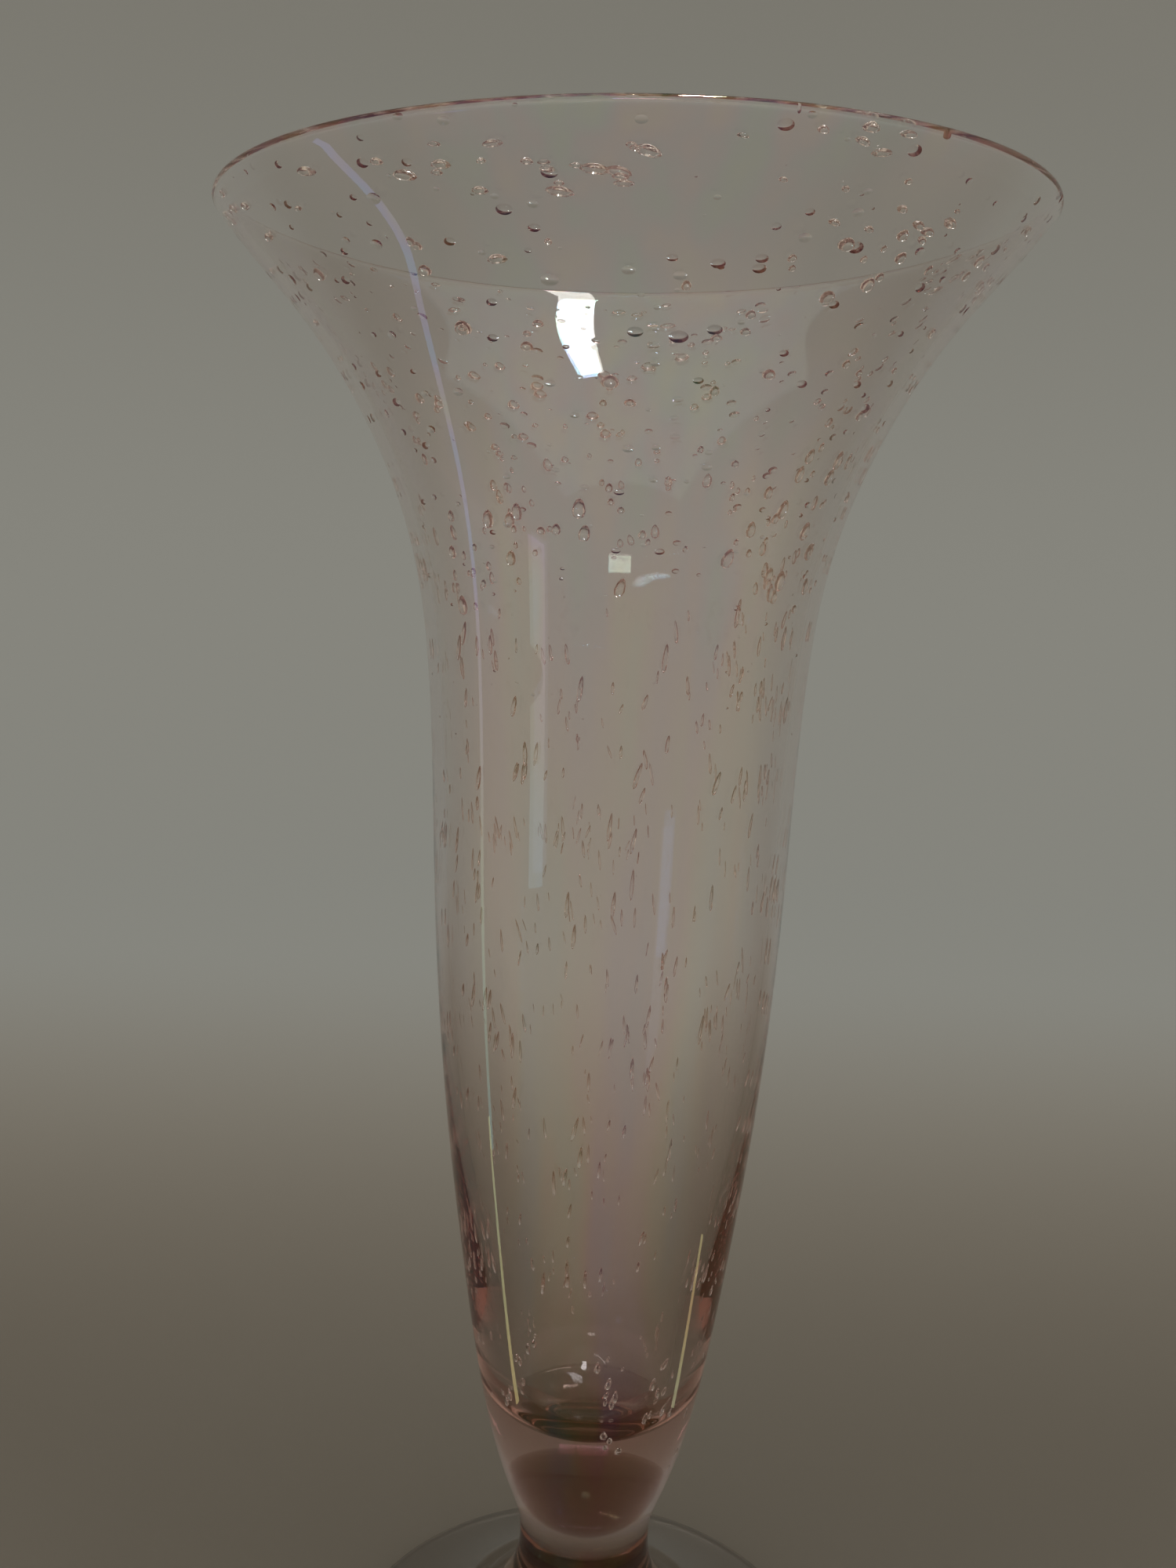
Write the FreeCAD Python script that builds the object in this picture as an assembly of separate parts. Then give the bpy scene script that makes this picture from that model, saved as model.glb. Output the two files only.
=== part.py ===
import FreeCAD, Part
import math
import os

# Trumpet vase in bubbled rose glass: a bowl cased in two gathers, a short solid post and a spun disc foot.
# Every piece is a solid of revolution about Z, and Z = 0 is the surface that the foot rests on.
# All lengths are in millimetres, all angles in degrees.

# The whole vase
overall_height = 306.5
mouth_radius = 77.6          # outside of the wall where the round lip begins
waist_radius = 13.9          # the narrowest place, where the bowl's tail is fused to the post
waist_height = 33.0
foot_radius = 52.0

# The bowl
lip_thickness = 2.2
lip_lean = 38.5              # lean of the wall from upright at the lip
lip_straight = 5.0           # the wall runs straight for this long below the lip
body_wall = 2.2              # wall of the slender body
cavity_floor_height = 63.0   # inside bottom of the bowl, on the axis
cavity_corner_radius = 13.6  # where the inside bottom turns up into the side
cavity_corner_rise = 3.9     # how far the bottom has risen there
plug_tip_height = 38.0       # lowest point of the lining's solid plug, on the axis
plug_radius = 9.0            # the plug a third of the way up
seat_sag = 1.2               # the bowl's tail is domed by this much where it sits in the post
waist_straight = 1.5         # the sides run upright for this long above and below the seat

# The post and the foot
shoulder_radius = 24.0       # where the post's flare runs out onto the disc
shoulder_height = 13.5
shoulder_slope = 37.0        # slope of the flare from level there
shoulder_straight = 1.5      # the flare and the disc run straight for this long on either side of it
edge_thickness = 4.2         # the disc's edge is fully round
ring_width = 4.0             # ground ring that the vase rests on
kick_height = 1.8            # rise of the underside from the ring to the pontil hollow
kick_middle_share = 0.75     # share of that rise that is reached halfway in
pontil_radius = 11.0         # polished hollow under the middle of the foot
pontil_depth = 1.3

# The wall is split at this share of its thickness, counted from the outside, into casing and lining.
casing_share = 0.5

# Outside of the bowl from the waist to the lip: share of the height, share of the radius, and the wall there as
# a multiple of body_wall. The bowl is solid or nearly so where no wall is given.
bowl_outline_shares = [
    (0.05, 0.052, None),
    (0.17, 0.175, 2.9),
    (0.25, 0.226, 2.2),
    (0.34, 0.275, 1.5),
    (0.52, 0.333, 1.1),
    (0.68, 0.365, 1.0),
    (0.77, 0.420, 1.0),
    (0.85, 0.542, 1.0),
    (0.93, 0.751, 1.0),
]

# Outside of the solid plug from its tip up: share of the height from the tip to the cavity's floor, and the
# radius as a multiple of plug_radius.
plug_outline_shares = [(0.005, 0.15), (0.09, 0.62), (0.38, 1.0), (0.76, 1.27), (1.14, 1.78)]

# Inside bottom of the bowl from the axis to its corner: share of the rise, and share of the radius.
cavity_outline_shares = [(0.01, 0.15), (0.2, 0.6), (1.0, 1.0)]

# Outside of the post below the waist: share of the drop from the waist to the shoulder, and share of the
# radius gained by then.
post_outline_shares = [(0.26, 0.05), (0.46, 0.17), (0.65, 0.37), (0.84, 0.67)]

# Top of the disc from the shoulder to the edge: share of the way out, and share of the drop by then.
disc_outline_shares = [(0.20, 0.36), (0.46, 0.66), (0.74, 0.88)]

axis_up = FreeCAD.Vector(0, 0, 1)
origin = FreeCAD.Vector(0, 0, 0)


def point(radius, height):
    return FreeCAD.Vector(radius, 0, height)


def direction(outward, upward):
    return FreeCAD.Vector(outward, 0, upward)


def between(start, end, share):
    return start + (end - start) * share


def smooth_edge(points):
    """A smooth edge through the points. Two close points at an end give it its direction there."""
    curve = Part.BSplineCurve()
    curve.interpolate(points)
    return curve.toShape()


def arc_edge(start, middle, end):
    return Part.Arc(start, middle, end).toShape()


def cap_edge(crown, rim):
    """The arc from a crown on the axis out to a rim, on a sphere centred on the axis."""
    rise = rim.z - crown.z
    sphere_radius = (rim.x ** 2 + rise ** 2) / (2 * rise)
    half_angle = math.asin(rim.x / sphere_radius) / 2
    middle = crown + direction(math.sin(half_angle), 1 - math.cos(half_angle)) * sphere_radius
    return arc_edge(crown, middle, rim)


def line_edge(start, end):
    return Part.LineSegment(start, end).toShape()


def revolve(edges):
    """The solid that a closed outline, given edge by edge, sweeps in one turn about Z."""
    face = Part.Face(Part.Wire(edges))
    return face.revolve(origin, axis_up, 360)


# The lip is a full round, centred on the middle of the wall.
lean = math.radians(lip_lean)
lip_along = direction(math.sin(lean), math.cos(lean))
lip_across = direction(math.cos(lean), -math.sin(lean))
lip_round = lip_thickness / 2
lip_outer = point(mouth_radius, overall_height - lip_round - lip_round * math.sin(lean))
lip_centre = lip_outer - lip_across * lip_round
lip_inner = lip_centre - lip_across * lip_round
lip_apex = lip_centre + lip_along * lip_round
lip_outer_middle = lip_centre + (lip_across + lip_along).normalize() * lip_round
lip_inner_middle = lip_centre + (lip_along - lip_across).normalize() * lip_round

# Outside of the bowl
waist = point(waist_radius, waist_height)
outer_stations = [
    point(between(waist.x, lip_outer.x, radius_share), between(waist.z, lip_outer.z, height_share))
    for height_share, radius_share, wall_share in bowl_outline_shares
]
lip_run = lip_along * lip_straight
bowl_outside = smooth_edge(
    [waist, waist + axis_up * waist_straight] + outer_stations + [lip_outer - lip_run, lip_outer]
)


def inset(station, depth):
    """The point that lies depth inside the bowl's outside, square to it, at one of its stations."""
    curve = bowl_outside.Curve
    along = curve.tangent(curve.parameter(station))[0]
    return station + direction(-along.z, along.x) * depth


walls = [
    (station, shares[2] * body_wall)
    for station, shares in zip(outer_stations, bowl_outline_shares)
    if shares[2] is not None
]

# Seam between the two gathers: round the plug, then up inside the wall to the top of the lip
plug_tip = point(0, plug_tip_height)
plug_stations = [
    point(plug_radius * radius_share, between(plug_tip_height, cavity_floor_height, height_share))
    for height_share, radius_share in plug_outline_shares
]
seam_stations = [inset(station, wall * casing_share) for station, wall in walls]
seam = smooth_edge([plug_tip] + plug_stations + seam_stations + [lip_centre - lip_run, lip_apex])

# Inside of the bowl
cavity_floor = point(0, cavity_floor_height)
cavity_bottom_stations = [
    point(cavity_corner_radius * radius_share, cavity_floor_height + cavity_corner_rise * rise_share)
    for rise_share, radius_share in cavity_outline_shares
]
cavity_stations = [inset(station, wall) for station, wall in walls]
cavity = smooth_edge(
    [cavity_floor] + cavity_bottom_stations + cavity_stations + [lip_inner - lip_run, lip_inner]
)

# Seat between the bowl's tail and the post: a shallow dome, lowest on the axis
seat_bottom = point(0, waist_height - seat_sag)
seat = cap_edge(seat_bottom, waist)

# Top of the foot. The flare and the disc run straight through the shoulder, so no crease shows there.
slope = math.radians(shoulder_slope)
shoulder = point(shoulder_radius, shoulder_height)
shoulder_run = direction(math.cos(slope), -math.sin(slope)) * shoulder_straight
edge_round = edge_thickness / 2
edge_top = point(foot_radius - edge_round, edge_thickness)
disc_stations = [
    point(between(shoulder.x, edge_top.x, out_share), between(shoulder.z, edge_top.z, drop_share))
    for out_share, drop_share in disc_outline_shares
]
post_stations = [
    point(between(waist.x, shoulder.x, radius_share), between(waist.z, shoulder.z, drop_share))
    for drop_share, radius_share in post_outline_shares
]
shoulder_face = line_edge(shoulder, point(0, shoulder_height))

# Underside of the foot, from the ground ring in to the pontil hollow
ring_outer = point(foot_radius - edge_round, 0)
ring_inner = point(ring_outer.x - ring_width, 0)
pontil_rim = point(pontil_radius, kick_height)
kick_middle = point((ring_inner.x + pontil_rim.x) / 2, kick_height * kick_middle_share)
pontil_top = point(0, kick_height + pontil_depth)


def bowl_casing():
    """The outer gather: the outside of the bowl and its solid tail, down to the seat in the post."""
    return revolve([
        seat,
        bowl_outside,
        arc_edge(lip_outer, lip_outer_middle, lip_apex),
        seam,
        line_edge(plug_tip, seat_bottom),
    ])


def bowl_lining():
    """The inner gather: the inside of the bowl and the solid plug below the cavity."""
    return revolve([
        seam,
        arc_edge(lip_apex, lip_inner_middle, lip_inner),
        cavity,
        line_edge(cavity_floor, plug_tip),
    ])


def stem_post():
    """The solid post that carries the bowl and flares out onto the disc."""
    return revolve([
        seat,
        smooth_edge(
            [waist, waist - axis_up * waist_straight] + post_stations + [shoulder - shoulder_run, shoulder]
        ),
        shoulder_face,
        line_edge(point(0, shoulder_height), seat_bottom),
    ])


def foot_disc():
    """The spun disc: sloping top, round edge, ground ring, gently domed underside and pontil hollow."""
    return revolve([
        shoulder_face,
        smooth_edge([shoulder, shoulder + shoulder_run] + disc_stations + [edge_top]),
        arc_edge(edge_top, point(foot_radius, edge_round), ring_outer),
        line_edge(ring_outer, ring_inner),
        arc_edge(ring_inner, kick_middle, pontil_rim),
        cap_edge(pontil_top, pontil_rim),
        line_edge(pontil_top, point(0, shoulder_height)),
    ])


os.makedirs("parts", exist_ok=True)
for make_piece in (bowl_casing, bowl_lining, stem_post, foot_disc):
    piece = make_piece()
    piece.exportStep("parts/" + make_piece.__name__ + ".step")
    box = piece.BoundBox
    print(make_piece.__name__, piece.isValid(), "solids", len(piece.Solids), "volume", round(piece.Volume, 1),
          "Z", round(box.ZMin, 3), round(box.ZMax, 3), "radius", round(box.XMax, 3))
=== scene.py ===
import math

import bpy
import numpy as np
from mathutils import Matrix, Vector


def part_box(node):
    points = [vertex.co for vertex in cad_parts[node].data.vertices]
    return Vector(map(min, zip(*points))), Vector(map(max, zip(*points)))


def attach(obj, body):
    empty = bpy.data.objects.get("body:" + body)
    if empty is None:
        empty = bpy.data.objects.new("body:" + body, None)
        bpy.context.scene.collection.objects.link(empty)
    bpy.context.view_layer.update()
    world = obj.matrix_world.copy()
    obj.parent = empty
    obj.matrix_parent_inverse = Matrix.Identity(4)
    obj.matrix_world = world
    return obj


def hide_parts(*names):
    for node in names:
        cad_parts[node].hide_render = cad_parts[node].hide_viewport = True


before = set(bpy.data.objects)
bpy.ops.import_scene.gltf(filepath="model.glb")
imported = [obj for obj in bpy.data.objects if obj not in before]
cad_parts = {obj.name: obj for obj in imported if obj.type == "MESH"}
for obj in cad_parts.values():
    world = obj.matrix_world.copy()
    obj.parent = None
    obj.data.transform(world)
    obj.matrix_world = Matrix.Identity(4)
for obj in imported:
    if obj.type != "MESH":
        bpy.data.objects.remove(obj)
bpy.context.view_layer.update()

# A trumpet vase in bubbled rose glass, as it was blown: a pale outer gather with air bubbles in it, a
# rose inner gather that ends in a solid plug, a post, and a spun foot. The gathers are fused, so light
# enters and leaves the glass only at the outside of the vase, at its cavity and at its bubbles.
# Lengths are in millimetres until a mesh is made, and in metres from there on.

MM = 0.001


def box_mm(node):
    """A CAD node's lowest and highest corner in millimetres."""
    low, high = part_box(node)
    return low / MM, high / MM


# Sizes that the frame gives
lip_top = box_mm("bowl_lining")[1].z
mouth_reach = box_mm("bowl_casing")[1].x
waist_height = box_mm("stem_post")[1].z
shoulder_height = box_mm("foot_disc")[1].z
shoulder_radius = box_mm("stem_post")[1].x
foot_radius = box_mm("foot_disc")[1].x
seat_low = box_mm("bowl_casing")[0].z
plug_tip_height = box_mm("bowl_lining")[0].z

# Sizes of the bowl
waist_radius = 13.9
lip_thickness = 2.2
lip_lean = math.radians(38.5)
lip_straight = 5.0
waist_straight = 1.5
body_wall = 2.2
cavity_floor_height = 63.0
cavity_corner_radius = 13.6
cavity_corner_rise = 3.9
plug_radius = 9.0
casing_share = 0.5

# The plug's heart, where the colour is deepest
core_lift = 0.3  # of its tip above the plug's
core_width_share = 0.97  # of the plug's width
core_side_height = 13.0
core_dome_height = 9.5

# Sizes of the foot
shoulder_slope = math.radians(37.0)
shoulder_straight = 1.5
edge_thickness = 4.2
ring_width = 4.0
kick_height = 1.8
pontil_radius = 11.0
pontil_depth = 1.3

# Outside of the bowl from the waist to the lip: share of the height, share of the radius, and the wall
# there as a multiple of body_wall
bowl_outline_shares = [
    (0.05, 0.052, None),
    (0.17, 0.175, 2.9),
    (0.25, 0.226, 2.2),
    (0.34, 0.275, 1.5),
    (0.52, 0.333, 1.1),
    (0.68, 0.365, 1.0),
    (0.77, 0.420, 1.0),
    (0.85, 0.542, 1.0),
    (0.93, 0.751, 1.0),
]
# Height and radius shares of the plug, inside bottom, post and disc, each from its lower or inner end
plug_outline_shares = [(0.005, 0.15), (0.09, 0.62), (0.38, 1.0), (0.76, 1.27), (1.14, 1.78)]
cavity_outline_shares = [(0.01, 0.15), (0.2, 0.6), (1.0, 1.0)]
post_outline_shares = [(0.26, 0.05), (0.46, 0.17), (0.65, 0.37), (0.84, 0.67)]
disc_outline_shares = [(0.20, 0.36), (0.46, 0.66), (0.74, 0.88)]

# Faults of a vase made by hand
mouth_tip = 0.0203  # fall of the mouth for each millimetre towards -X
out_of_round = 0.0015  # share of the radius, for each of two slow waves round the body
oval_turn = 0.6  # radians by which the first wave is turned
twist_height = 60  # height over which the second wave turns by a radian

# How the surfaces are made
around = 144  # points in a full turn
fused_gap = 0.02  # between the faces of two pieces that are fused, far too thin to show
crease_angle = math.radians(40)  # a sharper edge than this isn't shaded smooth


# Outlines, as arrays of (radius, height)

def smooth_line(points, steps):
    """A cubic spline through the points with no bend at its two ends.

    The parameter t is the distance from point to point. On a span of length w from p to q, with second
    derivatives m and n at its ends and a, b the distances of t from its far and near end, the place is
    (m a^3 + n b^3) / 6w + (p/w - m w/6) a + (q/w - n w/6) b. The second derivatives solve the linear
    system that makes the first ones meet.
    """
    points = np.asarray(points, float)
    spans = np.linalg.norm(np.diff(points, axis=0), axis=1)
    knots = np.concatenate([[0.0], np.cumsum(spans)])
    inner = np.arange(1, len(points) - 1)
    system = np.eye(len(points))
    system[inner, inner - 1] = spans[:-1]
    system[inner, inner] = 2 * (spans[:-1] + spans[1:])
    system[inner, inner + 1] = spans[1:]
    pull = np.zeros_like(points)
    pull[1:-1] = 6 * np.diff(np.diff(points, axis=0) / spans[:, None], axis=0)
    bend = np.linalg.solve(system, pull)
    t = np.linspace(0, knots[-1], steps)
    span = np.clip(np.searchsorted(knots, t, side="right") - 1, 0, len(spans) - 1)
    a = (knots[span + 1] - t)[:, None]
    b = (t - knots[span])[:, None]
    w = spans[span][:, None]
    near, far = points[span], points[span + 1]
    m, n = bend[span], bend[span + 1]
    return (m * a**3 + n * b**3) / (6 * w) + (near / w - m * w / 6) * a + (far / w - n * w / 6) * b


def smooth_from_axis(points, steps):
    """The same spline for an outline whose first point lies on the axis: its mirror image is put before
    it, so that it leaves the axis level, and only the half outside the axis is kept."""
    points = np.asarray(points, float)
    mirrored = points[:0:-1] * (-1, 1)
    whole = smooth_line(np.vstack([mirrored, points]), 2 * steps - 1)[steps - 1:]
    whole[0, 0] = 0
    return whole


def arc(centre, radius, start, end, steps):
    """Points on a circle: centre + radius (cos t, sin t), for t from start to end."""
    t = np.linspace(start, end, steps)
    return np.asarray(centre) + radius * np.stack([np.cos(t), np.sin(t)], axis=1)


def cap(crown, rim, steps):
    """The arc from a crown on the axis to a rim, on a circle whose centre is on the axis: its radius is
    (r^2 + h^2) / 2h for a rim at radius r and height h above the crown."""
    rise = rim[1] - crown[1]
    radius = (rim[0] ** 2 + rise**2) / (2 * rise)
    t = np.linspace(0, math.asin(rim[0] / radius), steps)
    return np.stack([radius * np.sin(t), crown[1] + radius * (1 - np.cos(t))], axis=1)


def straight(start, end, steps):
    """Evenly spaced points from start to end."""
    return np.linspace(start, end, steps)


lip_along = np.array([math.sin(lip_lean), math.cos(lip_lean)])
lip_across = np.array([math.cos(lip_lean), -math.sin(lip_lean)])
lip_round = lip_thickness / 2
lip_centre = np.array([mouth_reach - lip_round, lip_top - lip_round])
lip_outer = lip_centre + lip_across * lip_round
lip_inner = lip_centre - lip_across * lip_round
lip_run = lip_along * lip_straight
waist = np.array([waist_radius, waist_height])
upright = np.array([0.0, 1.0])

height_shares, radius_shares, wall_shares = zip(*bowl_outline_shares)
stations = waist + (lip_outer - waist) * np.stack([radius_shares, height_shares], axis=1)
above_waist = waist + upright * waist_straight
outside = smooth_line(np.vstack([waist, above_waist, stations, lip_outer - lip_run, lip_outer]), steps=170)


def inset(depth_of_wall):
    """The stations that have a wall, moved into the glass by a share of it, square to the outside."""
    along = np.gradient(outside, axis=0)
    nearest = np.argmin(np.linalg.norm(outside[:, None] - stations[None], axis=2), axis=0)
    along = along[nearest] / np.linalg.norm(along[nearest], axis=1)[:, None]
    inward = np.stack([-along[:, 1], along[:, 0]], axis=1)
    depths = np.array([share or 0 for share in wall_shares]) * body_wall * depth_of_wall
    return (stations + inward * depths[:, None])[depths > 0]


def cavity_outline():
    """The inside of the bowl from the middle of its floor to the lip."""
    bottom = [
        (cavity_corner_radius * radius_share, cavity_floor_height + cavity_corner_rise * rise_share)
        for rise_share, radius_share in cavity_outline_shares
    ]
    floor = [(0, cavity_floor_height)]
    side = [lip_inner - lip_run, lip_inner]
    return smooth_from_axis(np.vstack([floor, bottom, inset(1.0), side]), steps=150)


def seam_outline():
    """The border between the two gathers, from the tip of the plug to the top of the lip."""
    climb = cavity_floor_height - plug_tip_height
    plug = [
        (plug_radius * radius_share, plug_tip_height + climb * height_share)
        for height_share, radius_share in plug_outline_shares
    ]
    tip = [(0, plug_tip_height)]
    side = [lip_centre - lip_run, lip_centre + lip_along * lip_round]
    return smooth_from_axis(np.vstack([tip, plug, inset(casing_share), side]), steps=120)


cavity = cavity_outline()
seam = seam_outline()


# Surfaces

def hand_blown(points):
    """The slight faults of a vase made by hand: its mouth tips down to the left, and it is a little oval.

    With s a smooth step from half the height to the top, z falls by mouth_tip s (reach - x). The radius is
    multiplied by 1 - out_of_round s (2 + cos(2a + turn) + cos(a + z / twist)) for a point at angle a.
    """
    x, y, z = np.moveaxis(points, -1, 0)
    step = np.clip(2 * z / lip_top - 1, 0, 1)
    step = step * step * (3 - 2 * step)
    angle = np.arctan2(y, x)
    waves = 2 + np.cos(2 * angle + oval_turn) + np.cos(angle + z / twist_height)
    round_share = 1 - out_of_round * step * waves
    return np.stack([x * round_share, y * round_share, z - mouth_tip * step * (mouth_reach - x)], axis=-1)


def turned(outline):
    """An outline (r, z) turned about Z: (r cos a, r sin a, z) on a grid of outline points by angles."""
    a = np.arange(around) * (2 * math.pi / around)
    r, z = outline[:, :1], outline[:, 1:]
    return np.stack([r * np.cos(a), r * np.sin(a), z + 0 * a], axis=-1)


def ring_quads(rows, columns, first=0):
    """Faces of a grid that closes on itself column by column, numbered from first. They face out of a form
    whose rows go up."""
    i, j = np.meshgrid(np.arange(rows - 1), np.arange(columns), indexing="ij")
    k = (j + 1) % columns
    corners = [i * columns + j, i * columns + k, (i + 1) * columns + k, (i + 1) * columns + j]
    return first + np.stack(corners, axis=-1).reshape(-1, 4)


def add_piece(name, points, faces, material, marks=()):
    """A mesh object from points in millimetres, with one material and a number per face for each mark."""
    mesh = bpy.data.meshes.new(name)
    mesh.from_pydata(points * MM, [], faces)
    mesh.materials.append(material)
    for mark, values in dict(marks).items():
        mesh.attributes.new(mark, "FLOAT", "FACE").data.foreach_set("value", np.asarray(values, np.float32))
    mesh.shade_smooth()
    mesh.set_sharp_from_angle(angle=crease_angle)
    mesh.update()
    piece = bpy.data.objects.new(name, mesh)
    bpy.context.scene.collection.objects.link(piece)
    return piece


def turned_solid(outlines, numbers):
    """Points, faces and a number per face of a closed turned solid whose outline runs from axis to axis.

    The outline is a list of stretches that share their ends. A point on the axis becomes one vertex,
    joined to its neighbours by triangles. Each stretch has a number, which its faces get.
    """
    outline = np.vstack([outlines[0]] + [stretch[1:] for stretch in outlines[1:]])
    row_number = np.repeat(np.array(numbers, float), [len(stretch) - 1 for stretch in outlines])
    grid = turned(outline)
    rings = grid[1:-1].reshape(-1, 3)
    points = np.vstack([rings, grid[0, :1], grid[-1, :1]])
    quads = ring_quads(len(outline) - 2, around)
    here = np.arange(around)
    after = (here + 1) % around
    last_row = (len(outline) - 3) * around
    bottom = np.stack([np.full(around, len(rings)), after, here], axis=1)
    top = np.stack([last_row + here, last_row + after, np.full(around, len(rings) + 1)], axis=1)
    faces = quads.tolist() + bottom.tolist() + top.tolist()
    face_number = np.concatenate([
        np.repeat(row_number[1:-1], around),
        np.full(around, row_number[0]),
        np.full(around, row_number[-1]),
    ])
    return points, faces, face_number


# Bubbles

rng = np.random.default_rng(7)
bubble_rings = 4
bubble_sides = 8
small_bubble_power = 1.6  # sizes are drawn with it, so that small bubbles are the common ones
size_scatter = 0.12  # between a bubble's three sizes, as a share of their ranges
groups_per_bubble = 0.6
group_height_scatter = 0.007  # share of the vase's height, round a group's middle
group_angle_scatter = 0.10  # radians, round a group's middle
middle_depth_share = 0.5  # of the wall, at which bubbles lie on average
depth_scatter = 0.12  # share of the wall
lean_scatter = math.radians(6)  # bubbles also lean by as much on average, to the right from outside
fuller_end = 0.25  # by this share a bubble is fuller at its lower end and narrower at its upper end
deepest_share = 0.36  # half a bubble's depth is at most this share of the wall
thickest_wall = 3 * body_wall  # bubbles keep to this depth where the wall is thicker
bubble_cover = 0.1  # least glass over a bubble
bubble_room_share = 1.15  # of half its depth, kept free on each side of a bubble's middle

# Belts of bubbles from the lip down: how many, lowest and highest share of the height, and the least and
# most length along the slope, width round the vase and depth into the wall, in millimetres
bubble_belts = [
    (90, 0.955, 0.992, (0.8, 1.8), (1.5, 4.6), (0.9, 1.6)),
    (150, 0.860, 0.955, (1.1, 2.6), (1.2, 3.4), (1.0, 1.6)),
    (150, 0.760, 0.860, (1.3, 4.0), (0.9, 2.6), (0.9, 1.6)),
    (170, 0.640, 0.760, (2.0, 5.5), (0.45, 1.1), (0.6, 1.4)),
    (240, 0.480, 0.640, (2.0, 6.0), (0.3, 0.8), (0.5, 1.1)),
    (200, 0.330, 0.480, (1.8, 5.5), (0.3, 0.8), (0.5, 1.1)),
    (80, 0.220, 0.330, (1.0, 3.2), (0.6, 1.2), (0.6, 1.3)),
    (14, 0.140, 0.220, (0.9, 1.9), (0.8, 1.4), (0.8, 1.4)),
]


def bubble_places():
    """For every bubble its height share, angle, half sizes (along, round, deep), place in the wall's
    depth and lean to one side. Its three sizes go together, and bubbles come in loose groups."""
    rows = []
    for count, low, high, *ranges in bubble_belts:
        size = rng.random((count, 1)) ** small_bubble_power
        loose = np.clip(size + rng.normal(0, size_scatter, (count, 3)), 0, 1)
        low_size, high_size = np.array(ranges).T
        halves = (low_size + (high_size - low_size) * loose) / 2
        group = rng.integers(0, int(groups_per_bubble * count), count)
        middles = rng.random((count, 2))[group]
        height = low + (high - low) * middles[:, :1] + rng.normal(0, group_height_scatter, (count, 1))
        height = np.clip(height, low, high)
        angle = 2 * math.pi * middles[:, 1:] + rng.normal(0, group_angle_scatter, (count, 1))
        depth = middle_depth_share + depth_scatter * rng.normal(0, 1, (count, 1))
        lean = lean_scatter + lean_scatter * rng.normal(0, 1, (count, 1))
        rows.append(np.hstack([height, angle, halves, depth, lean]))
    return np.vstack(rows)


def bubbles(first):
    """Points and faces of all bubbles, numbered from first.

    A bubble is an ellipsoid with one end fuller: on the unit sphere (sin p cos q, sin p sin q, cos p),
    the width is multiplied by 1 - fuller_end cos p. Its axes follow the wall: along the slope, round the
    vase and square to both, the first two turned by its lean. The faces look into the bubble, because
    they bound the glass round it.
    """
    height, angle, half_along, half_round, half_deep, depth, lean = bubble_places().T
    outer = np.stack([
        np.interp(height * lip_top, outside[:, 1], outside[:, 0]),
        height * lip_top,
    ], axis=1)
    slope = np.gradient(outside, axis=0)
    slope /= np.linalg.norm(slope, axis=1)[:, None]
    along = np.stack([np.interp(outer[:, 1], outside[:, 1], slope[:, k]) for k in (0, 1)], axis=1)
    inward = np.stack([-along[:, 1], along[:, 0]], axis=1)
    upper = cavity[np.argmax(cavity[:, 0] > cavity_corner_radius):]
    wall = np.min(np.linalg.norm(outer[:, None] - upper[None], axis=2), axis=1)
    wall = np.minimum(wall, thickest_wall)
    half_deep = np.minimum(half_deep, deepest_share * wall)
    room = half_deep * bubble_room_share + bubble_cover
    middle = outer + inward * np.clip(wall * depth, room, wall - room)[:, None]

    p = np.linspace(0, math.pi, bubble_rings + 2)[1:-1]
    q = np.arange(bubble_sides) * (2 * math.pi / bubble_sides)
    full = 1 - fuller_end * np.cos(p)
    u = np.outer(np.sin(p) * full, np.cos(q)).ravel()
    v = np.outer(np.sin(p) * full, np.sin(q)).ravel()
    w = np.repeat(np.cos(p), bubble_sides)
    u, v, w = (np.append(values, ends) for values, ends in ((u, (0, 0)), (v, (0, 0)), (w, (1, -1))))

    def spread(halves, shape):
        return halves[:, None] * shape[None]

    cos_lean, sin_lean = np.cos(lean)[:, None], np.sin(lean)[:, None]
    upwards = spread(half_along, w) * cos_lean - spread(half_round, v) * sin_lean
    sideways = spread(half_along, w) * sin_lean + spread(half_round, v) * cos_lean
    r = middle[:, :1] + upwards * along[:, :1] + spread(half_deep, u) * inward[:, :1]
    z = middle[:, 1:] + upwards * along[:, 1:] + spread(half_deep, u) * inward[:, 1:]
    cos_angle, sin_angle = np.cos(angle)[:, None], np.sin(angle)[:, None]
    x = r * cos_angle - sideways * sin_angle
    y = r * sin_angle + sideways * cos_angle
    points = np.stack([x, y, z], axis=-1)

    quads = ring_quads(bubble_rings, bubble_sides)
    here = np.arange(bubble_sides)
    after = (here + 1) % bubble_sides
    pole = bubble_rings * bubble_sides
    last_ring = pole - bubble_sides
    start = np.stack([np.full(bubble_sides, pole), after, here], axis=1)
    end = np.stack([last_ring + here, last_ring + after, np.full(bubble_sides, pole + 1)], axis=1)
    triangles = np.vstack([start, end])
    starts = first + np.arange(len(angle))[:, None, None] * (pole + 2)
    faces = (starts + quads).reshape(-1, 4).tolist() + (starts + triangles).reshape(-1, 3).tolist()
    return points.reshape(-1, 3), faces


# Materials

def linear(hex_colour):
    """An sRGB colour such as "#D8C0B4" as linear red, green, blue and an alpha of 1."""
    parts = np.array([int(hex_colour[k:k + 2], 16) for k in (1, 3, 5)]) / 255
    value = np.where(parts <= 0.04045, parts / 12.92, ((parts + 0.055) / 1.055) ** 2.4)
    return (*value.tolist(), 1.0)


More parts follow.
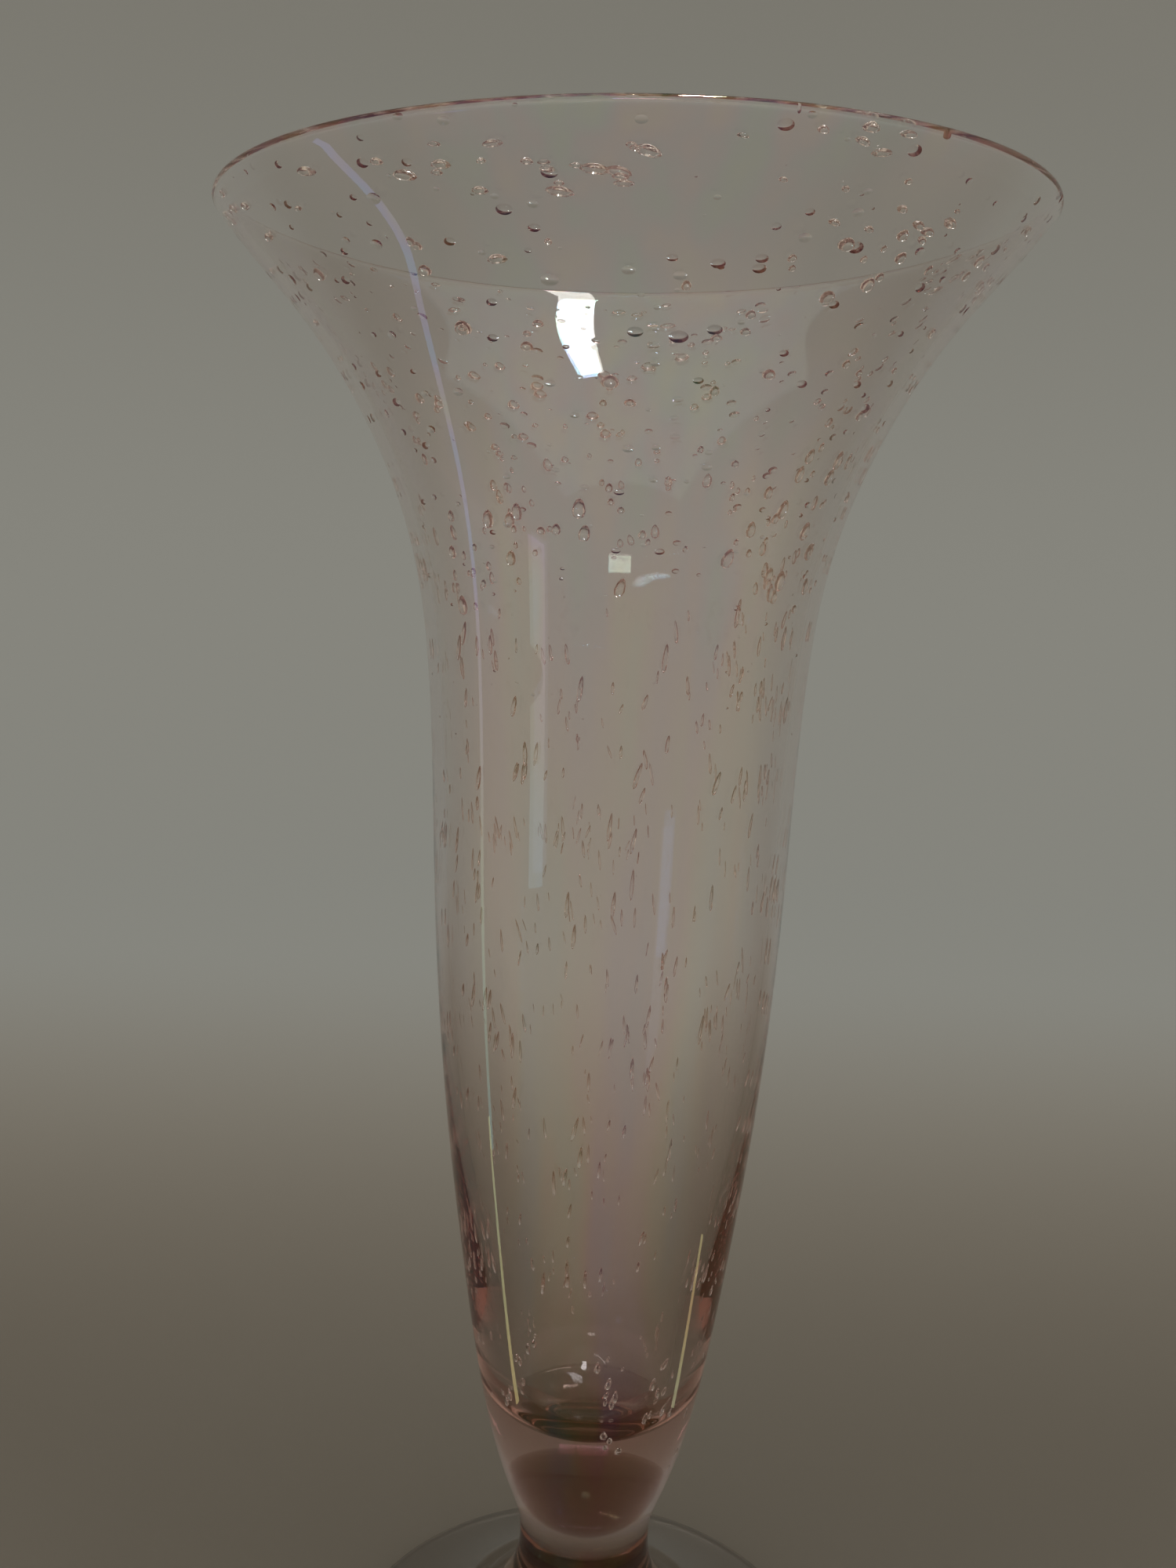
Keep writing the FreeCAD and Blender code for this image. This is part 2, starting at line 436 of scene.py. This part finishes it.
def node(tree, kind, inputs=(), **settings):
    """One node of a kind, with its settings, and with each input given a value, or linked to a socket or
    to the first output of a node."""
    made = tree.nodes.new(kind)
    for name, value in settings.items():
        setattr(made, name, value)
    for name, value in dict(inputs).items():
        if isinstance(value, bpy.types.Node):
            value = value.outputs[0]
        if isinstance(value, bpy.types.NodeSocket):
            tree.links.new(value, made.inputs[name])
        else:
            made.inputs[name].default_value = value
    return made


def ramp(start, end, low=0.0, high=1.0):
    """The inputs of a Map Range node that carries start to low and end to high."""
    return {"From Min": start, "From Max": end, "To Min": low, "To Max": high}


def new_material(name):
    """A material with no nodes yet, and its node tree."""
    material = bpy.data.materials.new(name)
    material.use_nodes = True
    material.node_tree.nodes.clear()
    return material, material.node_tree


def absorbed(per_mm):
    """The colour and density of a Volume Absorption node that takes these shares of red, green and blue
    out of light on each millimetre: the node takes (1 - colour) density on each metre."""
    per_metre = np.asarray(per_mm) / MM
    density = per_metre.max()
    return {"Color": (*(1 - per_metre / density).tolist(), 1.0), "Density": float(density)}


# The skin's patterns, in millimetres: the waves that blowing leaves, the runs of the lustre, and the
# droplets, each with how many times its height goes into its length
wave_width, wave_flatness = 14.286, 0.25
run_width, run_flatness = 9.091, 0.06
droplet_spacing, droplet_flatness = 6.6667, 1.7
droplet_least_share, droplet_share_range = 0.02, 0.22  # radius as a share of the spacing
droplet_steepness = 2.6  # height in millimetres of a droplet whose radius is as large as the spacing
flare_start, flare_full = 200, 270  # heights between which the flare's marks come in


def pattern(tree, kind, width, flatness, **inputs):
    """A texture in object space whose features are so many millimetres wide, and drawn out along Z where
    the flatness is under 1."""
    place = node(tree, "ShaderNodeTexCoord").outputs["Object"]
    drawn = node(tree, "ShaderNodeMapping", {"Vector": place, "Scale": (1, 1, flatness)})
    return node(tree, kind, {"Vector": drawn, "Scale": 1 / (width * MM), **inputs})


def flare_share(tree):
    """How far a place is up the flare: 0 in the body and 1 towards the mouth."""
    place = node(tree, "ShaderNodeTexCoord").outputs["Object"]
    height = node(tree, "ShaderNodeSeparateXYZ", {"Vector": place}).outputs["Z"]
    return node(tree, "ShaderNodeMapRange", {"Value": height, **ramp(flare_start * MM, flare_full * MM)})


def droplet_height(tree, flare):
    """The height in millimetres of low domes that air bubbles close under the skin have raised. With d
    the distance from the middle of a random cell and r the droplet's radius, drawn per cell, the dome is
    1 - (d / r)^2. Droplets are larger in the flare, and wider than high."""
    cells = pattern(tree, "ShaderNodeTexVoronoi", droplet_spacing, droplet_flatness)
    draw = node(tree, "ShaderNodeSeparateColor", {"Color": cells.outputs["Color"]}).outputs["Red"]
    flared = node(tree, "ShaderNodeMath", {0: draw, 1: flare}, operation="MULTIPLY")
    radius = node(tree, "ShaderNodeMath", {
        0: flared, 1: droplet_share_range, 2: droplet_least_share,
    }, operation="MULTIPLY_ADD")
    share = node(tree, "ShaderNodeMath", {0: cells.outputs["Distance"], 1: radius}, operation="DIVIDE")
    squared = node(tree, "ShaderNodeMath", {0: share, 1: share}, operation="MULTIPLY")
    dome = node(tree, "ShaderNodeMath", {0: 1, 1: squared}, operation="SUBTRACT", use_clamp=True)
    top = node(tree, "ShaderNodeMath", {0: radius, 1: droplet_steepness}, operation="MULTIPLY")
    return node(tree, "ShaderNodeMath", {0: dome, 1: top}, operation="MULTIPLY")


def film_thickness(tree, flare):
    """The thickness in nanometres of the lustre, on the faces marked lustred. It was fumed on, so it is
    uneven, in runs drawn out lengthwise, and wavers between a thickness that mirrors gold and one that
    mirrors lilac. It grows a little in the flare."""
    fumes = pattern(tree, "ShaderNodeTexNoise", run_width, run_flatness, Detail=2, Roughness=0.5)
    spread = node(tree, "ShaderNodeMapRange", {
        "Value": fumes, **ramp(*lustre["runs"], lustre["thinnest"], lustre["thickest"]),
    })
    where = node(tree, "ShaderNodeAttribute", attribute_name="lustred").outputs["Fac"]
    thicker = node(tree, "ShaderNodeMath", {
        0: flare, 1: lustre["flare_growth"], 2: 1,
    }, operation="MULTIPLY_ADD")
    grown = node(tree, "ShaderNodeMath", {0: spread, 1: thicker}, operation="MULTIPLY")
    return node(tree, "ShaderNodeMath", {0: grown, 1: where}, operation="MULTIPLY").outputs[0]


def blown_glass(name, per_mm, wave, lustred=False):
    """Soda-lime glass coloured in the mass, blown and fire-polished: quite smooth, so it shows sharp
    highlights and bends what is behind it, with an IOR of 1.52. What shows that it was blown by hand is a
    slow waviness of its skin, drawn out lengthwise and as high as wave, in millimetres. Lustred glass
    also has droplets and a film.

    Where two gathers were fused there is no surface left, so faces marked fused let light straight through.
    """
    material, tree = new_material(name)
    swell = pattern(tree, "ShaderNodeTexNoise", wave_width, wave_flatness, Detail=1, Roughness=0.4)
    height = node(tree, "ShaderNodeMath", {0: swell, 1: wave}, operation="MULTIPLY")
    if lustred:
        flare = flare_share(tree)
        height = node(tree, "ShaderNodeMath", {0: height, 1: droplet_height(tree, flare)}, operation="ADD")
    bump = node(tree, "ShaderNodeBump", {"Height": height, "Strength": 1, "Distance": MM})
    glass = node(tree, "ShaderNodeBsdfPrincipled", {
        "Base Color": linear("#FBF9F8"),
        "Roughness": 0.0,
        "IOR": 1.52,
        "Transmission Weight": 1.0,
        "Normal": bump,
    })
    if lustred:
        tree.links.new(film_thickness(tree, flare), glass.inputs["Thin Film Thickness"])
        glass.inputs["Thin Film IOR"].default_value = lustre["ior"]
    fused = node(tree, "ShaderNodeAttribute", attribute_name="fused").outputs["Fac"]
    through = node(tree, "ShaderNodeBsdfTransparent")
    skin = node(tree, "ShaderNodeMixShader", {0: fused, 1: glass, 2: through})
    colour = node(tree, "ShaderNodeVolumeAbsorption", absorbed(per_mm))
    node(tree, "ShaderNodeOutputMaterial", {"Surface": skin, "Volume": colour})
    return material


def colour_in_the_mass(name, per_mm):
    """The deeper rose of a gather inside another one. It is fused all round, so its surface neither bends
    nor mirrors light: it only takes more green and blue out of it on the way through."""
    material, tree = new_material(name)
    clear = node(tree, "ShaderNodeBsdfPrincipled", {
        "Base Color": linear("#FFFFFF"), "Roughness": 0.0, "IOR": 1.0, "Transmission Weight": 1.0,
    })
    colour = node(tree, "ShaderNodeVolumeAbsorption", absorbed(per_mm))
    node(tree, "ShaderNodeOutputMaterial", {"Surface": clear, "Volume": colour})
    return material


def tent_fabric():
    """The light tent round the vase: matt pale cloth that is lit through from outside everywhere but
    close to the vase, warm from the front and cooler from the back.

    The front's share is the greater of two smooth steps: one of Y, which starts at the vase, and one of Y
    over the distance d from the vase, times a third one of d. The glow is the front's strength times its
    share, plus the back's strength, which falls with height, times a smooth step of Y.
    """
    material, tree = new_material("tent_fabric")
    place = node(tree, "ShaderNodeTexCoord").outputs["Object"]
    along = node(tree, "ShaderNodeSeparateXYZ", {"Vector": place})
    distance = node(tree, "ShaderNodeVectorMath", {0: place}, operation="LENGTH").outputs["Value"]
    facing = node(tree, "ShaderNodeMath", {0: along.outputs["Y"], 1: distance}, operation="DIVIDE")
    near_front, side, away, backward, back_strength = (
        node(tree, "ShaderNodeMapRange", {"Value": value, **reach}, interpolation_type="SMOOTHSTEP")
        for value, reach in (
            (along.outputs["Y"], ramp(*front_reach)),
            (facing, ramp(*side_reach)),
            (distance, ramp(*far_reach)),
            (along.outputs["Y"], ramp(*back_reach)),
            (along.outputs["Z"], ramp(*back_fall, *back_glow)),
        )
    )
    sides = node(tree, "ShaderNodeMath", {0: side, 1: away}, operation="MULTIPLY")
    front = node(tree, "ShaderNodeMath", {0: near_front, 1: sides}, operation="MAXIMUM")
    back = node(tree, "ShaderNodeMath", {0: back_strength, 1: backward}, operation="MULTIPLY")
    glow = node(tree, "ShaderNodeMath", {0: front, 1: front_glow, 2: back}, operation="MULTIPLY_ADD")
    tint = node(tree, "ShaderNodeMixRGB", {
        "Fac": backward, "Color1": linear("#FFEFD8"), "Color2": linear("#DFE6E1"),
    })
    shader = node(tree, "ShaderNodeBsdfPrincipled", {
        "Base Color": linear("#8F8C86"),
        "Roughness": 0.9,
        "Emission Color": tint,
        "Emission Strength": glow,
    })
    node(tree, "ShaderNodeOutputMaterial", {"Surface": shader})
    return material


# Pieces

# Shares of red, green and blue that the glass takes out of light on each millimetre
pale_rose = (0.007, 0.013, 0.014)
deep_rose = (0.006, 0.012, 0.013)  # on top of the pale rose
core_rose = (0.058, 0.082, 0.086)  # on top of both
post_rose = (0.028, 0.046, 0.050)
foot_rose = (0.016, 0.020, 0.026)

# Heights of the waves that blowing leaves in the skin
bowl_wave = 0.012
foot_wave = 0.008

# The lustre's film: its two thicknesses in nanometres, the values of the noise that give them, the share
# by which it grows in the flare, and its IOR
lustre = {"thinnest": 230, "thickest": 335, "runs": (0.3, 0.7), "flare_growth": 0.2, "ior": 1.7}


def cased_bowl():
    """The outer gather of the bowl: its outside, lip, cavity and bubbles. Its skin also bounds the lining."""
    seat = cap((0, seat_low + fused_gap / 2), waist + upright * fused_gap / 2, steps=20)
    lip = np.array([
        lip_centre + lip_round * (math.cos(t) * lip_across + math.sin(t) * lip_along)
        for t in np.linspace(0, math.pi, 17)
    ])
    outlines = [seat, outside, lip, cavity[::-1]]
    points, faces, fused = turned_solid(outlines, [1, 0, 0, 0])
    lustred = turned_solid(outlines, [0, 1, 1, 0])[2]
    air_points, air_faces = bubbles(len(points))
    no_air = np.zeros(len(air_faces))
    return add_piece(
        "cased_bowl",
        hand_blown(np.vstack([points, air_points])),
        faces + air_faces,
        blown_glass("lustred_pale_rose_glass", pale_rose, bowl_wave, lustred=True),
        {"fused": np.append(fused, no_air), "lustred": np.append(lustred, no_air)},
    )


def rose_lining():
    """The inner gather: a skin under the cavity's surface, and the solid plug below it. It stops a little
    short of the lip."""
    along = np.gradient(cavity, axis=0)
    into_glass = np.stack([along[:, 1], -along[:, 0]], axis=1) / np.linalg.norm(along, axis=1)[:, None]
    skin = cavity + into_glass * fused_gap
    skin[0, 0] = 0
    skin, border = skin[:-2], seam[:-2]
    points, faces, _ = turned_solid([border, straight(border[-1], skin[-1], steps=3), skin[::-1]], [0, 0, 0])
    glass = colour_in_the_mass("deep_rose_glass", deep_rose)
    return add_piece("rose_lining", hand_blown(points), faces, glass)


def plug_core():
    """The heart of the lining's plug, where the colour is deepest: it keeps a little inside the plug's
    tip and sides, and ends in a dome below the cavity."""
    sides = seam[seam[:, 1] < plug_tip_height + core_side_height]
    heart = sides * (core_width_share, 1) + upright * core_lift
    dome = cap(heart[-1] * (0, 1) + upright * core_dome_height, heart[-1], steps=16)[::-1]
    points, faces, _ = turned_solid([heart, dome], [0, 0])
    glass = colour_in_the_mass("core_rose_glass", core_rose)
    return add_piece("plug_core", points, faces, glass)


def post():
    """The solid post: a shallow seat for the bowl on top, and sides that flare out onto the disc."""
    shoulder = np.array([shoulder_radius, shoulder_height])
    run = np.array([math.cos(shoulder_slope), -math.sin(shoulder_slope)]) * shoulder_straight
    sides = [
        waist + (shoulder - waist) * (radius_share, drop_share)
        for drop_share, radius_share in post_outline_shares
    ]
    below_waist = waist - upright * waist_straight
    flare = smooth_line(np.vstack([waist, below_waist, sides, shoulder - run, shoulder]), steps=60)
    gap = upright * fused_gap / 2
    flare[-1] += gap
    flare[0] -= gap
    seat = cap((0, seat_low - fused_gap / 2), flare[0], steps=20)
    base = straight((0, flare[-1][1]), flare[-1], steps=12)
    points, faces, fused = turned_solid([base, flare[::-1], seat[::-1]], [1, 0, 1])
    glass = blown_glass("post_rose_glass", post_rose, foot_wave)
    return add_piece("stem_post_glass", points, faces, glass, {"fused": fused})


def foot():
    """The spun disc: pontil hollow, domed underside, flat ground ring, round edge and sloping top."""
    edge_round = edge_thickness / 2
    edge_centre = np.array([foot_radius - edge_round, edge_round])
    ring_inner = edge_centre[0] - ring_width
    hollow = cap((0, kick_height + pontil_depth), (pontil_radius, kick_height), steps=14)
    s = np.linspace(0, 1, 24)[:, None]
    kick = np.hstack([pontil_radius + (ring_inner - pontil_radius) * s, kick_height * (1 - s**2)])
    ring = straight((ring_inner, 0), (edge_centre[0], 0), steps=4)
    edge = arc(edge_centre, edge_round, -math.pi / 2, math.pi / 2, steps=18)
    shoulder = np.array([shoulder_radius, shoulder_height])
    run = np.array([math.cos(shoulder_slope), -math.sin(shoulder_slope)]) * shoulder_straight
    slope = [
        shoulder + (edge[-1] - shoulder) * (out_share, drop_share)
        for out_share, drop_share in disc_outline_shares
    ]
    top = smooth_line(np.vstack([shoulder, shoulder + run, slope, edge[-1]]), steps=50)[::-1]
    top[-1] -= upright * fused_gap / 2
    face = straight(top[-1], (0, top[-1][1]), steps=12)
    points, faces, fused = turned_solid([hollow, kick, ring, edge, top, face], [0, 0, 0, 0, 0, 1])
    glass = blown_glass("foot_rose_glass", foot_rose, foot_wave)
    return add_piece("foot_disc_glass", points, faces, glass, {"fused": fused})


for piece, node_name, slot in (
    (cased_bowl(), "bowl_casing", "casing_glass"),
    (rose_lining(), "bowl_lining", "lining_glass"),
    (plug_core(), "bowl_lining", "lining_glass"),
    (post(), "stem_post", "post_glass"),
    (foot(), "foot_disc", "foot_glass"),
):
    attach(piece, "root")
    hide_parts(node_name)


# Studio

# The glow of the cloth: where it grows and falls, in metres, and how strong it is
front_glow = 0.355
front_reach = (0.02, -0.24)  # along Y
side_reach = (0.55, -0.20)  # along Y over the distance from the vase
far_reach = (0.08, 0.70)  # distance from the vase
back_reach = (0.03, 0.58)  # along Y
back_fall, back_glow = (0.15, 0.95), (0.185, 0.115)  # heights, and the strengths there


def light_tent():
    """Floor, wall and roof in one: a flat disc that curves up, by a quarter circle, into a round wall,
    which closes in a dome. It goes all the way round the vase, so every view has a plain backdrop."""
    floor_radius, bend_radius, wall_top = 800, 500, 1500
    below_foot = 0.05
    wall_radius = floor_radius + bend_radius
    curve = arc((floor_radius, bend_radius), bend_radius, -math.pi / 2, 0, steps=40)
    dome = arc((0, wall_top), wall_radius, 0, math.pi / 2, steps=40)
    outline = np.vstack([straight((0, 0), curve[0], steps=20), curve[1:], dome]) - (0, below_foot)
    outline[-1, 0] = 0
    points, faces, _ = turned_solid([outline], [0])
    return add_piece("light_tent", points, [face[::-1] for face in faces], tent_fabric())


def reflector(name, place, towards, long_side, width, length, radiance, colour="#FFFFFF", through=True):
    """A lit card that only shows in the glass: the camera and the cloth don't see it, and unless it may
    be seen through the glass, it shows in its skin alone. It faces towards a point, and its length runs
    as near to the direction long_side as that lets it. Its power is the radiance that its face shows
    times pi times its area."""
    light = bpy.data.lights.new(name, "AREA")
    light.shape = "RECTANGLE"
    light.size, light.size_y = width * MM, length * MM
    light.energy = radiance * math.pi * light.size * light.size_y
    light.color = linear(colour)[:3]
    card = bpy.data.objects.new(name, light)
    bpy.context.scene.collection.objects.link(card)
    place = Vector(place) * MM
    backward = (place - Vector(towards) * MM).normalized()
    across = Vector(long_side).cross(backward).normalized()
    card.matrix_world = Matrix((across, backward.cross(across), backward)).transposed().to_4x4()
    card.matrix_world.translation = place
    card.visible_camera = False
    card.visible_diffuse = False
    card.visible_transmission = through


def photograph_camera():
    """The photograph's camera: 1900 pixels of focal length on a frame of 1500 by 2000, so 34.2 mm behind
    a 36 mm long side. It stands 295 mm in front of the vase, pitched down by 8.7 degrees, rolled by 2.1."""
    place = Vector((-5.0, -294.7, 241.6)) * MM
    pitch, roll = math.radians(8.737), math.radians(2.081)
    frame_height, focal_length, long_side = 2000, 1900, 36
    forward = Vector((0, math.cos(pitch), -math.sin(pitch)))
    level = Vector((1, 0, 0))
    above = level.cross(forward)
    right = level * math.cos(roll) + above * math.sin(roll)
    up = above * math.cos(roll) - level * math.sin(roll)
    data = bpy.data.cameras.new("photograph_camera")
    data.sensor_width = long_side
    data.lens = long_side * focal_length / frame_height
    data.clip_start, data.clip_end = 0.01, 20
    camera = bpy.data.objects.new("photograph_camera", data)
    camera.matrix_world = Matrix((right, up, -forward)).transposed().to_4x4()
    camera.matrix_world.translation = place
    bpy.context.scene.collection.objects.link(camera)
    bpy.context.scene.camera = camera


light_tent()
photograph_camera()
reflector(
    "ceiling_lamp", place=(150, 60, 1500), towards=(0, 0, 300), long_side=(0, 1, 0),
    width=110, length=385, radiance=40.0,
)
# The cloth under the lamp is brightest in the middle: four cards, each inside the one before it
for share in (1.0, 0.8, 0.6, 0.4):
    reflector(
        "ceiling_cloth", place=(0, -250, 1450), towards=(0, -250, 0), long_side=(1, 0, 0),
        width=1500 * share, length=1600 * share, radiance=0.24, colour="#FFF8F0",
    )
reflector(
    "front_lamp", place=(0, -1000, 750), towards=(0, 0, 250), long_side=(1, 0, 0),
    width=90, length=260, radiance=4.0,
)
reflector(
    "left_window", place=(-214, -28, 105), towards=(0, -20, 105), long_side=(0, 0, 1),
    width=9, length=185, radiance=0.9, colour="#B4E4FF", through=False,
)
reflector(
    "front_left_window", place=(-230, -226, 121), towards=(0, -30, 160), long_side=(0, 0, 1),
    width=50, length=50, radiance=0.8, colour="#B0C8FF",
)
reflector(
    "left_floor_card", place=(-175, -22, 1), towards=(-175, -22, 200), long_side=(1, 0, 0),
    width=7, length=180, radiance=1.5, colour="#FFEFC8", through=False,
)
reflector(
    "right_floor_card", place=(135, 2, 1), towards=(135, 2, 200), long_side=(1, 0, 0),
    width=8, length=90, radiance=1.2, colour="#FFEFC8", through=False,
)

# Light goes round inside the solid base and the thin walls many times before it comes out again. With
# fewer bounces the base's edges would turn black.
glass_bounces = 200
cloth_bounces = 4

scene = bpy.context.scene
scene.view_settings.view_transform = "Standard"
scene.cycles.max_bounces = glass_bounces
scene.cycles.transmission_bounces = glass_bounces
scene.cycles.transparent_max_bounces = glass_bounces
scene.cycles.glossy_bounces = glass_bounces
scene.cycles.diffuse_bounces = cloth_bounces
scene.cycles.volume_bounces = 0
